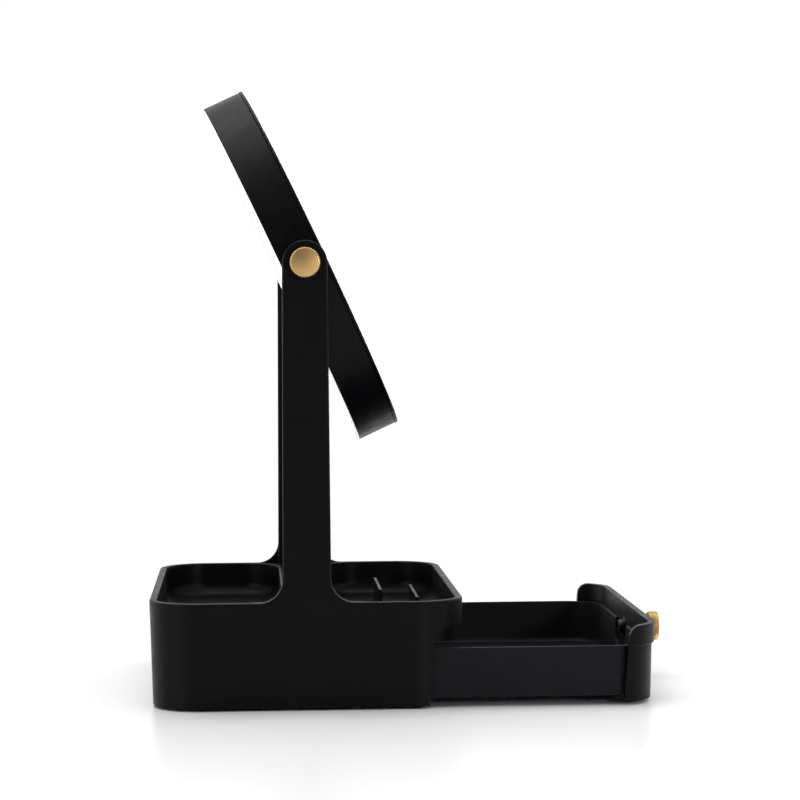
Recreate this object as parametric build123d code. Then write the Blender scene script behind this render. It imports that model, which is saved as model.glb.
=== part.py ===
from build123d import *
import math
import os

# Vanity mirror with drawer. Millimetres, Z up.
# The origin is the middle of the base on the table. The front faces -Y and the
# object is symmetric about X = 0. It is shown with the drawer fully open and the
# mirror tilted back.

# ---------------------------------------------------------------- driving sizes
# Stance
foot_height = 1.2
rim_height = 51.8
pivot_height = 213.9

# Base moulding
base_depth = 152.1
corner_radius = 25.0
base_draft = 1.5
rim_wall = 3.6
rim_edge_radius = 1.0
tray_edge_radius = 0.8
side_wall = 2.8
ceiling_height = 31.6
tray_floor_height = 34.0
tray_floor_radius = 7.5
tray_draft_angle = 2.0
ridge_half_width = 11.5
ridge_wall = 2.4

# Tray fins: distance from the base's front, and how far the top lies under the rim
fin_thickness = 1.3
fin_length = 60.0
rear_fin_setback = 37.45
rear_fin_drop = 1.8
front_fin_setback = 18.85
front_fin_drop = 5.8

# Side posts
post_thickness = 7.4
post_lean = 0.7
post_top_width = 21.6
post_foot_width = 23.0
post_flare_radius = 11.5
post_edge_radius = 0.8
post_root_depth = 6.0

# Mirror head
mirror_radius = 93.2
band_width = 21.3
rim_shell = 2.2
tilt_angle = 25.0
bezel_width = 1.8
bezel_rise = 0.3
parting_gap = 0.3
diffuser_inset = 0.8
diffuser_proud = 1.66
diffuser_edge_radius = 1.2
light_width = 15.4
glass_thickness = 2.0
glass_recess = 0.16
magnifier_curve = 1200.0
seat_gap = 0.2

# Pivots
post_gap = 0.9
boss_radius = 6.5
boss_rise = 0.2
washer_radius = 6.2
washer_play = 0.05
insert_radius = 3.3
insert_length = 8.0
stem_end_gap = 0.1
running_clearance = 0.06

# Knobs and their screws
knob_radius = 7.4
knob_thickness = 5.6
knob_edge_radius = 1.6
knob_dome = 0.35
knurl_depth = 0.35
knurl_count = 50
stem_radius = 3.5
stem_length = 9.0
screw_radius = 2.0
thread_clearance = 0.05
stud_reach = 7.0
stud_grip = 6.0

# Drawer
drawer_hold = 22.6
panel_thickness = 2.2
panel_gap = 0.4
panel_foot_gap = 0.5
panel_edge_radius = 0.5
panel_return = 17.65
seam_slant_angle = 4.5
band_bottom = 38.9
seam_radius = 6.5
lip_bottom = 28.5
lip_proud = 1.1
lip_chamfer = 0.4
drawer_side_gap = 0.8
drawer_wall = 1.8
drawer_floor = 1.8
drawer_floor_height = 4.6
drawer_inner_radius = 3.0
drawer_top_height = 28.8
drawer_rear_gap = 14.05
drawer_edge_radius = 0.4
notch_width = 37.0
notch_bottom = 14.0
notch_radius = 8.0
knob_height = 26.3
knob_pad_radius = 5.5
knob_seat_depth = 1.1
knob_screw_head_radius = 3.5
knob_screw_head = 2.2
knob_washer_radius = 4.6
knob_washer = 0.8

# Drawer stops and guides
lug_setback = 37.9
lug_width = 12.0
lug_height = 2.0
stop_rib_width = 16.0
stop_rib_thickness = 2.5
stop_rib_drop = 2.0
stop_gap = 0.3
guide_width = 4.3
guide_gap = 0.4

# Bottom plate, its screws and the feet
plate_thickness = 2.0
plate_gap = 0.2
plate_front_setback = 1.0
plate_corner_radius = 2.0
rail_setback = 17.9
rail_width = 4.0
rail_gap = 0.1
tongue_length = 8.0
tongue_reach = 1.2
tongue_setback = 8.0
tongue_gap = 0.2
screw_boss_radius = 3.5
screw_boss_setback = 27.9
plate_screw_radius = 1.45
plate_screw_head_radius = 2.8
plate_screw_length = 10.0
plate_screw_sink = 0.1
foot_radius = 3.3
foot_recess = 0.6
foot_gap = 0.1
foot_edge_radius = 0.5
foot_setback = 3.8
rear_foot_setback = 10.75
rear_foot_inset = 4.6
front_foot_setback = 6.9

# Mirror core and electronics
core_plate = 2.0
core_ring_width = 6.0
core_ear_length = 7.0
core_ear_width = 12.0
lug_wall = 3.0
core_screw_radius = 1.25
core_screw_head_radius = 2.4
core_screw_head = 1.5
core_screw_inset = 2.5
led_board_thickness = 1.2
led_board_gap = 2.8
led_board_sink = 4.85
led_shelf = 1.0
led_count = 48
led_length = 3.5
led_width = 2.8
led_height = 0.8
battery_width = 62.0
battery_height = 42.0
battery_headroom = 2.15
battery_inset = 51.8
battery_cover_wall = 1.0
board_size = (30.0, 34.0, 1.6)
board_standoff = 0.6
board_foot_radius = 2.5
socket_size = (8.9, 3.2, 7.3)
socket_wall = 0.3
socket_depth = 6.0
socket_gap = 0.15
socket_tongue = (6.6, 0.7, 4.5)
touch_radius = 7.0
touch_thickness = 0.5
touch_inset = 15.8

# ---------------------------------------------------------------- worked-out sizes
base_width = 2 * (mirror_radius + post_gap + post_thickness + post_lean)
base_height = rim_height - foot_height
draft_slope = base_draft / base_height
draft_angle = math.degrees(math.atan(draft_slope))
post_inner = mirror_radius + post_gap
post_top = pivot_height + post_top_width / 2
lean_slope = post_lean / (pivot_height - rim_height)
bay_half_width = base_width / 2 - base_draft - side_wall
bay_rear = base_depth / 2 - base_draft - side_wall
bay_radius = corner_radius - base_draft - side_wall
seam_place = base_depth / 2 - panel_return
drawer_rear_place = bay_rear - drawer_rear_gap
drawer_travel = seam_place + drawer_rear_place - drawer_hold
lug_place = bay_half_width - lug_setback
rail_place = bay_half_width - rail_setback
side_boss_place = bay_half_width - screw_boss_setback
screw_boss_places = (-side_boss_place, 0.0, side_boss_place)
rear_foot_place = bay_rear - rear_foot_setback
front_foot_place = seam_place - front_foot_setback
rear_fin_place = base_depth / 2 - rear_fin_setback
front_fin_place = base_depth / 2 - front_fin_setback
seam_slope = math.tan(math.radians(seam_slant_angle))
half_band = band_width / 2
glass_radius = mirror_radius - light_width
diffuser_radius = mirror_radius - diffuser_inset
glass_front = half_band + diffuser_proud - glass_recess
glass_back = glass_front - glass_thickness
core_radius = glass_radius + seat_gap + 2.0
led_board_inner = core_radius + seat_gap
led_board_outer = mirror_radius - rim_shell - led_board_gap
led_board_level = half_band - led_board_sink
battery_thickness = glass_back - core_plate / 2 - battery_headroom
battery_place = glass_radius - battery_inset
touch_place = glass_radius - touch_inset
knob_pad_front = base_depth / 2 + lip_proud
knob_seat = knob_pad_front - knob_seat_depth
far = 2 * base_width


def drafted_block(inset, top, bottom, taper=draft_angle):
    """Solid with the base's plan outline, moved in by inset, narrowing downwards."""
    drop = (rim_height - top) * draft_slope
    width = base_width - 2 * (inset + drop)
    depth = base_depth - 2 * (inset + drop)
    radius = corner_radius - inset - drop
    plane = Plane(origin=(0, 0, top), x_dir=(1, 0, 0), z_dir=(0, 0, -1))
    return extrude(plane * RectangleRounded(width, depth, radius), amount=top - bottom, taper=taper)


def block(x_min, x_max, y_min, y_max, z_min, z_max):
    """Square-edged box between two corners."""
    middle = ((x_min + x_max) / 2, (y_min + y_max) / 2, (z_min + z_max) / 2)
    return Pos(*middle) * Box(x_max - x_min, y_max - y_min, z_max - z_min)


def rod(radius, start, end, x=0.0, y=0.0):
    """Upright cylinder from one height to another."""
    return Pos(x, y, (start + end) / 2) * Cylinder(radius, end - start)


def rod_along_y(radius, start, end, x=0.0, z=0.0):
    """Cylinder along Y from one depth to another."""
    return Pos(x, (start + end) / 2, z) * Rot(X=90) * Cylinder(radius, end - start)


def rod_along_x(radius, start, end, z=pivot_height):
    """Cylinder along X at the height of the pivot."""
    return Pos((start + end) / 2, 0, z) * Rot(Y=90) * Cylinder(radius, end - start)


def bowl_depth(curve, radius):
    """How far a sphere of the given curve falls away at a radius from its pole."""
    return curve - math.sqrt(curve**2 - radius**2)


def both_sides(shape):
    """The shape and its mirror image on the other side of the object."""
    return shape + mirror(shape, about=Plane.YZ)


# ---------------------------------------------------------------- drawer seam
def seam_prism(gap, foot):
    """Everything in front of the slanted seam and under the front band, gap inside the seam line."""
    top = band_bottom - gap
    seam_at_foot = -seam_place - gap + (foot_height - foot) * seam_slope
    seam_at_top = -seam_place - gap - (top - foot_height) * seam_slope
    outline = Polyline(
        (-far, foot),
        (seam_at_foot, foot),
        (seam_at_top, top),
        (-far, top),
        close=True,
    )
    face = make_face(Plane.YZ * outline)
    corner = face.vertices().filter_by(lambda v: abs(v.Y - seam_at_top) < 0.01 and abs(v.Z - top) < 0.01)
    face = fillet(corner, seam_radius - gap)
    return extrude(face, amount=far / 2, both=True)


# ---------------------------------------------------------------- base
def tray_pocket():
    """Rear tray compartment, with drafted walls and a rounded floor."""
    width = base_width - 2 * rim_wall
    depth = base_depth / 2 - rim_wall - ridge_half_width
    plane = Plane(
        origin=(0, ridge_half_width + depth / 2, rim_height), x_dir=(1, 0, 0), z_dir=(0, 0, -1)
    )
    outline = plane * RectangleRounded(width, depth, corner_radius - rim_wall)
    pocket = extrude(outline, amount=rim_height - tray_floor_height, taper=tray_draft_angle)
    return fillet(pocket.faces().sort_by(Axis.Z)[0].edges(), tray_floor_radius)


def post_outline(flare):
    """Side view of a post: round top, slight taper, feet that sweep out by the flare."""
    top = post_top_width / 2
    foot = post_foot_width / 2
    root = rim_height - post_root_depth
    line = Line((-top, pivot_height), (-foot, rim_height + flare))
    line += RadiusArc((-foot, rim_height + flare), (-foot - flare, rim_height), flare)
    line += Polyline(
        (-foot - flare, rim_height), (-foot - flare, root), (foot + flare, root), (foot + flare, rim_height)
    )
    line += RadiusArc((foot + flare, rim_height), (foot, rim_height + flare), flare)
    line += Line((foot, rim_height + flare), (top, pivot_height))
    line += ThreePointArc((top, pivot_height), (0, post_top), (-top, pivot_height))
    return make_face(Plane.YZ * line)


def post_straight_outline():
    """Side view of the thick part of a post, which stands on the ridge."""
    top = post_top_width / 2
    foot = min(post_foot_width / 2, ridge_half_width)
    root = rim_height - ridge_wall
    line = Polyline(
        (-top, pivot_height), (-foot, rim_height), (-foot, root), (foot, root), (foot, rim_height)
    )
    line += Line((foot, rim_height), (top, pivot_height))
    line += ThreePointArc((top, pivot_height), (0, post_top), (-top, pivot_height))
    return make_face(Plane.YZ * line)


def post_slab(inner):
    """Front view of a post's thickness, from the inner face to the leaning outer face."""
    half = base_width / 2
    root = rim_height - post_root_depth
    top = post_top + 1.0
    points = [
        (half - post_root_depth * draft_slope, root),
        (half, rim_height),
        (half - (top - rim_height) * lean_slope, top),
        (inner, top),
        (inner, root),
    ]
    face = make_face(Plane.XZ * Polyline(*points, close=True))
    return extrude(face, amount=base_depth / 2, both=True)


def make_post():
    """Right post: a flared skin as thick as the tray wall, with a thicker straight back."""
    skin = extrude(post_outline(post_flare_radius), amount=far / 2) & post_slab(base_width / 2 - rim_wall)
    back = extrude(post_straight_outline(), amount=far / 2) & post_slab(post_inner)
    return skin + back


def on_outer_skin(edge):
    """True for an edge on the rounded outline of the rim and the posts, seen from outside."""
    half_x = base_width / 2
    half_y = base_depth / 2
    for share in (0.1, 0.5, 0.9):
        point = edge.position_at(share)
        x, y, z = abs(point.X), abs(point.Y), point.Z
        if z > rim_height + 0.01:
            if abs(x - half_x + (z - rim_height) * lean_slope) > 0.05:
                return False
        elif z < rim_height - 0.01 or y < post_foot_width / 2 + post_flare_radius - 0.01 and x > post_inner:
            return False
        else:
            over_x = max(0.0, x - half_x + corner_radius)
            over_y = max(0.0, y - half_y + corner_radius)
            if over_x == 0 or over_y == 0:
                distance = min(half_x - x, half_y - y)
            else:
                distance = corner_radius - math.hypot(over_x, over_y)
            if abs(distance) > 0.05:
                return False
    return True


def on_tray_edge(edge):
    """True for an edge of a tray compartment's mouth."""
    low = edge.bounding_box().min.Z
    high = edge.bounding_box().max.Z
    middle = edge.center()
    inside_x = abs(middle.X) < base_width / 2 - rim_wall + 0.01
    return low > rim_height - 0.01 and high < rim_height + 0.01 and inside_x and not on_post_foot(edge)


def on_post_foot(edge):
    """True for an edge where a post meets the top of the ridge or the rim."""
    middle = edge.center()
    return abs(middle.X) > post_inner - 0.01 and abs(middle.Y) < post_foot_width / 2 + post_flare_radius


def on_post_back(edge):
    """True for an edge of a post's inner face."""
    middle = edge.center()
    return abs(abs(middle.X) - post_inner) < 0.01 and middle.Z > rim_height + 1


def make_base_housing():
    """One moulding: two-part tray on top, drawer bay below, two posts."""
    body = drafted_block(0, rim_height, foot_height)
    pocket = tray_pocket()
    body -= pocket
    body -= mirror(pocket, about=Plane.XZ)
    body += both_sides(make_post())
    body = fillet(body.edges().filter_by(on_outer_skin), rim_edge_radius)
    body = fillet(body.edges().filter_by(on_tray_edge), tray_edge_radius)
    body = fillet(body.edges().filter_by(on_post_back), post_edge_radius)

    # drawer bay, open at the front and underneath
    bay = RectangleRounded(2 * bay_half_width, 2 * bay_rear, bay_radius)
    body -= extrude(bay, amount=ceiling_height)
    body -= block(-bay_half_width, bay_half_width, -bay_rear, 0, 0, ceiling_height)

    # room for the drawer front and its ears, only as deep as the panel above the bay
    room = seam_prism(0, -1)
    kept = drafted_block(panel_thickness + panel_gap, rim_height, foot_height)
    kept &= block(-far, far, -far, far, ceiling_height, rim_height)
    body -= room - kept

    # the ridge is hollow from below
    hollow_half = ridge_half_width - ridge_wall
    hollow_length = post_inner - ridge_wall
    hollow_top = rim_height - ridge_wall
    body -= block(-hollow_length, hollow_length, -hollow_half, hollow_half, ceiling_height - 1, hollow_top)

    # fins in the front compartment
    half = fin_thickness / 2
    for place, drop in ((rear_fin_place, rear_fin_drop), (front_fin_place, front_fin_drop)):
        top = rim_height - drop
        body += block(
            -fin_length / 2, fin_length / 2, -place - half, -place + half, tray_floor_height - 1, top
        )

    # drawer stops and guides under the tray floor
    stop_rear = drawer_rear_place - drawer_wall - drawer_travel - stop_gap
    for side in (-1, 1):
        middle = side * lug_place
        body += block(
            middle - stop_rib_width / 2,
            middle + stop_rib_width / 2,
            stop_rear - stop_rib_thickness,
            stop_rear,
            ceiling_height - stop_rib_drop,
            ceiling_height + 0.5,
        )
    guide = block(
        bay_half_width - guide_width,
        bay_half_width + 0.5,
        -seam_place + tongue_setback,
        drawer_rear_place,
        drawer_top_height + guide_gap,
        ceiling_height + 0.5,
    )
    body += both_sides(guide)

    # bosses for the bottom plate's screws
    boss_y = (drawer_rear_place + bay_rear) / 2
    plate_top = foot_height + plate_thickness
    for place in screw_boss_places:
        body += rod(screw_boss_radius, plate_top, ceiling_height + 0.5, place, boss_y)
        body -= rod(plate_screw_radius, plate_top - 1, plate_top + plate_screw_length, place, boss_y)

    # slots for the plate's tongues
    body -= both_sides(plate_tongue(tongue_gap))

    # pivot bores
    body -= rod_along_x(stem_radius + running_clearance, -far, far)
    return body


def plate_tongue(gap):
    """Tongue at the right edge of the bottom plate, grown by the gap."""
    front = -seam_place + tongue_setback
    return block(
        bay_half_width - plate_gap - 1,
        bay_half_width - plate_gap + tongue_reach + gap,
        front - gap,
        front + tongue_length + gap,
        foot_height + plate_thickness / 2 - gap,
        foot_height + plate_thickness + gap,
    )


def foot_places():
    """Centres of the four feet."""
    side = bay_half_width - foot_setback
    rear_side = side - rear_foot_inset
    return [
        (-side, -front_foot_place),
        (side, -front_foot_place),
        (-rear_side, rear_foot_place),
        (rear_side, rear_foot_place),
    ]


def make_bottom_plate():
    """Floor of the bay, with two rails for the drawer and two tongues."""
    half = bay_half_width - plate_gap
    rear = bay_rear - plate_gap
    front = -seam_place + plate_front_setback
    top = foot_height + plate_thickness
    outline = RectangleRounded(2 * half, 2 * rear, bay_radius - plate_gap)
    plate = Pos(0, 0, foot_height) * extrude(outline, amount=plate_thickness)
    plate &= block(-far, far, 0, far, -far, far)
    ahead = block(-half, half, front, 0, foot_height, top)
    ahead = fillet(ahead.edges().filter_by(Axis.Z).group_by(Axis.Y)[0], plate_corner_radius)
    plate += ahead
    rail_front = front + plate_corner_radius
    rail_top = drawer_floor_height - rail_gap
    rail_start = rail_place - rail_width / 2
    rail_end = rail_place + rail_width / 2
    rail = block(rail_start, rail_end, rail_front, drawer_rear_place, top - 0.5, rail_top)
    plate += both_sides(rail)
    plate += both_sides(plate_tongue(0))
    boss_y = (drawer_rear_place + bay_rear) / 2
    head_depth = plate_screw_head_radius - plate_screw_radius
    for place in screw_boss_places:
        plate -= rod(plate_screw_radius + running_clearance, 0, top + 1, place, boss_y)
        sink_start = foot_height + plate_screw_sink
        sink = Cone(plate_screw_head_radius + plate_gap, plate_screw_radius + plate_gap, head_depth)
        plate -= Pos(place, boss_y, sink_start + head_depth / 2) * sink
        plate -= rod(plate_screw_head_radius + plate_gap, 0, sink_start, place, boss_y)
    for x, y in foot_places():
        plate -= rod(foot_radius + foot_gap, foot_height - 1, foot_height + foot_recess, x, y)
    return plate


def make_plate_screws():
    """Countersunk screws up into the rear bosses."""
    boss_y = (drawer_rear_place + bay_rear) / 2
    head_depth = plate_screw_head_radius - plate_screw_radius
    start = foot_height + plate_screw_sink
    screws = []
    for place in screw_boss_places:
        head = Cone(plate_screw_head_radius, plate_screw_radius, head_depth)
        screw = Pos(place, boss_y, start + head_depth / 2) * head
        shank_end = foot_height + plate_screw_length
        shank_radius = plate_screw_radius - thread_clearance
        screw += rod(shank_radius, start + head_depth / 2, shank_end, place, boss_y)
        screws.append(screw)
    return Compound(children=screws)


def make_feet():
    """Four small round rubber feet, each in a shallow recess of the plate."""
    feet = []
    for x, y in foot_places():
        foot = rod(foot_radius, 0, foot_height + foot_recess, x, y)
        feet.append(fillet(foot.edges().group_by(Axis.Z)[0], foot_edge_radius))
    return Compound(children=feet)


# ---------------------------------------------------------------- drawer
def opened(shape):
    """A drawer piece, moved from its closed place to the open one."""
    return Pos(0, -drawer_travel, 0) * shape


def make_drawer_front():
    """Front panel that wraps the rounded corners, with a thicker lip along its top."""
    foot = foot_height + panel_foot_gap
    panel = drafted_block(0, rim_height, foot_height) & seam_prism(panel_gap, foot)
    lip_start = lip_bottom + lip_chamfer
    lip = drafted_block(-lip_proud, band_bottom, lip_start)
    lip += drafted_block(-lip_proud, lip_start, lip_bottom, taper=45)
    panel += lip & seam_prism(panel_gap, foot)
    panel -= drafted_block(panel_thickness, rim_height, foot_height)
    pad = rod_along_y(knob_pad_radius, -knob_pad_front, -base_depth / 2 + panel_thickness, z=knob_height)
    panel += pad
    panel -= rod_along_y(stem_radius + thread_clearance, -far, -knob_seat, z=knob_height)
    panel -= rod_along_y(screw_radius + thread_clearance, -far, 0, z=knob_height)
    return opened(panel)


def box_front(z):
    """Depth of the panel's inner face at a height, when the drawer is closed."""
    return -(base_depth / 2 - panel_thickness - (rim_height - z) * draft_slope)


def make_drawer_box():
    """Open box behind the front panel, with a notch that clears the knob's screw."""
    half = bay_half_width - drawer_side_gap
    front = box_front(drawer_top_height)
    depth = drawer_rear_place - front
    drop = (rim_height - drawer_top_height) * draft_slope
    inner_half = base_width / 2 - panel_thickness - drop
    inner_radius = corner_radius - panel_thickness - drop
    radius = inner_radius - (inner_half - half)
    height = drawer_top_height - drawer_floor_height

    def shell(inset, depth_down):
        origin = (0, (front + drawer_rear_place) / 2, drawer_top_height)
        plane = Plane(origin=origin, x_dir=(1, 0, 0), z_dir=(0, 0, -1))
        outline = plane * RectangleRounded(2 * (half - inset), depth - 2 * inset, radius - inset)
        return extrude(outline, amount=depth_down, taper=draft_angle)

    box = shell(0, height)
    box = fillet(box.faces().sort_by(Axis.Z)[0].edges(), drawer_edge_radius)
    hollow = shell(drawer_wall, height - drawer_floor)
    box -= fillet(hollow.faces().sort_by(Axis.Z)[0].edges(), drawer_inner_radius)
    rim_edges = box.edges().filter_by(lambda e: e.bounding_box().min.Z > drawer_top_height - 0.01)
    box = fillet(rim_edges, drawer_edge_radius)

    notch_top = drawer_top_height + notch_radius + 1
    notch = block(-notch_width / 2, notch_width / 2, front - 5, front + 8, notch_bottom, notch_top)
    box -= fillet(notch.edges().filter_by(Axis.Y).group_by(Axis.Z)[0], notch_radius)

    for side in (-1, 1):
        middle = side * lug_place
        box += block(
            middle - lug_width / 2,
            middle + lug_width / 2,
            drawer_rear_place - drawer_wall,
            drawer_rear_place,
            drawer_top_height - drawer_wall,
            drawer_top_height + lug_height,
        )
    return opened(box)


def make_knob():
    """Knurled knob on its stem, standing on Z = 0 with the grip on top."""
    body_radius = knob_radius - 1.5 * knurl_depth
    reach = body_radius - knob_edge_radius
    top = stem_length + knob_thickness
    bottom = stem_length
    bend = knob_edge_radius * (1 - math.sqrt(0.5))
    low_side = (body_radius, bottom + knob_edge_radius)
    high_side = (body_radius, top - knob_edge_radius)
    line = Polyline((0, bottom), (reach, bottom))
    line += ThreePointArc((reach, bottom), (body_radius - bend, bottom + bend), low_side)
    line += Line(low_side, high_side)
    line += ThreePointArc(high_side, (body_radius - bend, top - bend), (reach, top))
    dome_curve = (reach**2 + knob_dome**2) / (2 * knob_dome)
    dome_middle = top + knob_dome - bowl_depth(dome_curve, reach / 2)
    line += ThreePointArc((reach, top), (reach / 2, dome_middle), (0, top + knob_dome))
    line += Line((0, top + knob_dome), (0, bottom))
    knob = revolve(make_face(Plane.XZ * line), axis=Axis.Z)
    points = []
    for tooth in range(knurl_count):
        for share, radius in ((0.0, knob_radius), (0.5, knob_radius - knurl_depth)):
            angle = 2 * math.pi * (tooth + share) / knurl_count
            points.append((radius * math.cos(angle), radius * math.sin(angle)))
    margin = 0.6 * knob_edge_radius
    teeth = extrude(make_face(Polyline(*points, close=True)), amount=knob_thickness - 2 * margin)
    knob += Pos(0, 0, bottom + margin) * teeth
    knob += rod(stem_radius, 0, stem_length + 0.5)
    knob -= rod(screw_radius + thread_clearance / 2, 0, stud_grip + 0.5)
    return knob


def make_drawer_knob():
    """The same knob as on the pivots, its stem sunk a little into the panel's pad."""
    seat = Plane(origin=(0, -knob_seat, knob_height), x_dir=(1, 0, 0), z_dir=(0, -1, 0))
    return opened(seat.location * make_knob())


def make_drawer_knob_washer():
    """Flat washer between the panel and the screw's head."""
    back = -base_depth / 2 + panel_thickness
    front = back - panel_thickness / 4
    ring = rod_along_y(knob_washer_radius, front, box_front(knob_height) + knob_washer, z=knob_height)
    ring -= rod_along_y(screw_radius + thread_clearance, -far, 0, z=knob_height)
    panel = drafted_block(0, rim_height, foot_height)
    panel -= drafted_block(panel_thickness, rim_height, foot_height)
    return opened(ring - panel)


def make_drawer_knob_screw():
    """Pan head screw from inside the drawer into the knob's stem."""
    seat = box_front(knob_height) + knob_washer
    head = rod_along_y(knob_screw_head_radius, seat, seat + knob_screw_head, z=knob_height)
    head = fillet(head.edges().group_by(Axis.Y)[-1], knob_screw_head / 2)
    head -= block(-0.5, 0.5, seat + knob_screw_head / 2, seat + far, knob_height - 2.2, knob_height + 2.2)
    head -= block(-2.2, 2.2, seat + knob_screw_head / 2, seat + far, knob_height - 0.5, knob_height + 0.5)
    shank = rod_along_y(screw_radius, -knob_seat - stud_grip, seat, z=knob_height)
    return opened(head + shank)


# ---------------------------------------------------------------- mirror head
# The head is drawn upright, with its middle at the pivot and its front face towards -Y.
def tilted(shape):
    """A piece of the head, moved from upright to the tilt at rest."""
    return Pos(0, 0, pivot_height) * Rot(X=-tilt_angle) * shape


def disc(radius, front, back):
    """Round plate on the head's axis, given by how far it reaches to the front and to the back."""
    return Pos(0, (back - front) / 2, 0) * Rot(X=90) * Cylinder(radius, front + back)


def ring(outer, inner, front, back):
    """Flat ring on the head's axis."""
    return disc(outer, front, back) - disc(inner, front + 1, back + 1)


def head_box(x_size, z_min, z_max, front, back):
    """Box in the head, centred across it."""
    return block(-x_size / 2, x_size / 2, -front, back, z_min, z_max)


def make_mirror_rim():
    """Round band with flat pivot pads outside, bosses and screw lugs inside."""
    front = half_band - bezel_width
    inner = mirror_radius - rim_shell
    body = disc(mirror_radius, front, half_band)
    body = fillet(body.edges().group_by(Axis.Y)[-1], panel_edge_radius)
    body -= disc(inner, front + 1, half_band + 1)
    outer_face = mirror_radius + boss_rise
    inner_face = mirror_radius - insert_length - boss_rise
    boss = rod_along_x(boss_radius - 1, inner_face, inner + 0.5, 0)
    boss += rod_along_x(boss_radius, inner + 0.5, outer_face, 0)
    body += both_sides(boss)
    body -= rod_along_x(insert_radius, -far, far, 0)
    lug_face = core_plate / 2
    for turn in (45, 135, 225, 315):
        lug = block(
            core_radius + core_ear_length / 2,
            inner + 0.5,
            lug_face,
            lug_face + lug_wall,
            -core_ear_width / 2,
            core_ear_width / 2,
        )
        body += Rot(Y=turn) * lug
        place = core_radius + core_ear_length - core_screw_inset
        body -= Rot(Y=turn) * rod_along_y(core_screw_radius, 0, lug_face + lug_wall + 1, place)
    x_size, y_size, length = socket_size
    slot = RectangleRounded(x_size + 2 * socket_gap, y_size + 2 * socket_gap, y_size / 2)
    body -= Pos(0, 0, -mirror_radius - 1) * extrude(slot, amount=rim_shell + 3)
    return tilted(body)


def make_front_bezel():
    """Thin ring that closes the front edge of the band, parted from it by a fine groove."""
    front = half_band
    back = -(half_band - bezel_width + parting_gap)
    bezel = disc(mirror_radius + bezel_rise, front, back)
    bezel = fillet(bezel.edges(), 0.45)
    spigot = mirror_radius - rim_shell - seat_gap
    bezel += disc(spigot, front - parting_gap, -(half_band - 2 * bezel_width))
    bezel -= disc(spigot - rim_shell, far, far)
    return tilted(bezel)


def make_diffuser(spigot_reach):
    """Light ring for the front: a proud rounded flange with a spigot behind it."""
    front = half_band + diffuser_proud
    outer = disc(diffuser_radius, front, -half_band)
    outer = fillet(outer.edges().group_by(Axis.Y)[0], diffuser_edge_radius)
    outer -= disc(glass_radius + seat_gap, far, far)
    spigot = mirror_radius - 2 * rim_shell - 2 * seat_gap
    outer += ring(spigot, spigot - rim_shell, half_band + 0.2, -(half_band - spigot_reach))
    return outer


def make_front_diffuser():
    """Front light ring."""
    return tilted(make_diffuser(bezel_width))


def make_rear_diffuser():
    """Rear light ring, the front one turned round."""
    return tilted(mirror(make_diffuser(bezel_width), about=Plane.XZ))


def make_front_glass():
    """Flat mirror."""
    return tilted(disc(glass_radius, glass_front, -glass_back))


def make_rear_glass():
    """Magnifying mirror, slumped into a shallow bowl."""
    rise = bowl_depth(magnifier_curve, glass_radius)
    half_rise = bowl_depth(magnifier_curve, glass_radius / 2)
    outer = glass_front - rise
    inner = glass_back - rise
    line = Polyline((0, outer), (0, inner))
    line += ThreePointArc((0, inner), (glass_radius / 2, inner + half_rise), (glass_radius, glass_back))
    line += Line((glass_radius, glass_back), (glass_radius, glass_front))
    line += ThreePointArc((glass_radius, glass_front), (glass_radius / 2, outer + half_rise), (0, outer))
    return tilted(revolve(make_face(Plane.XY * line), axis=Axis.Y))


def make_mirror_core():
    """White frame between the two glasses: middle plate, ring wall, shelves and ears."""
    plate = core_plate / 2
    core = disc(core_radius, plate, plate)
    wall_inner = core_radius - core_ring_width
    bowl_drop = bowl_depth(magnifier_curve, glass_radius) - bowl_depth(magnifier_curve, wall_inner)
    core += ring(core_radius, wall_inner, glass_back, glass_back - bowl_drop)
    shoulder = glass_radius + seat_gap
    core += ring(core_radius, shoulder, half_band, half_band)
    shelf_outer = core_radius + led_shelf + seat_gap
    shelf = ring(shelf_outer, core_radius - 1, led_board_level, -(led_board_level - led_shelf))
    core += shelf
    core += mirror(shelf, about=Plane.XZ)
    for turn in (45, 135, 225, 315):
        half_ear = core_ear_width / 2
        ear = block(core_radius - 1, core_radius + core_ear_length, -plate, plate, -half_ear, half_ear)
        core += Rot(Y=turn) * ear
        place = core_radius + core_ear_length - core_screw_inset
        hole = rod_along_y(core_screw_radius + running_clearance, -plate - 1, plate + 1, place)
        core -= Rot(Y=turn) * hole
    x_size, length, thickness = board_size
    core -= head_box(x_size + 4, -far, -core_radius + core_ring_width + 2, plate + 1.5, plate + 4.5)
    for x in (-x_size / 3, x_size / 3):
        foot_z = board_top() - board_foot_radius - 1
        core += rod_along_y(board_foot_radius, plate - 0.5, plate + board_standoff, x, foot_z)
    return tilted(core)


def board_top():
    """Height of the control board's upper edge, from the head's middle."""
    return board_bottom() + board_size[1]


def board_bottom():
    """Height of the control board's lower edge, from the head's middle."""
    return -(mirror_radius - rim_shell - 5)


def make_core_screws():
    """Screws through the core's ears into the rim's lugs."""
    plate = core_plate / 2
    place = core_radius + core_ear_length - core_screw_inset
    screws = []
    for turn in (45, 135, 225, 315):
        screw = rod_along_y(core_screw_head_radius, -plate - core_screw_head, -plate, place)
        screw += rod_along_y(core_screw_radius - thread_clearance, -plate, plate + lug_wall - 0.5, place)
        screws.append(tilted(Rot(Y=turn) * screw))
    return Compound(children=screws)


def make_front_led_ring():
    """Ring board that carries the front lamps."""
    front = led_board_level + led_board_thickness
    return tilted(ring(led_board_outer, led_board_inner, front, -led_board_level))


def make_rear_led_ring():
    """Ring board that carries the rear lamps."""
    back = led_board_level + led_board_thickness
    return tilted(ring(led_board_outer, led_board_inner, -led_board_level, back))


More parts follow.
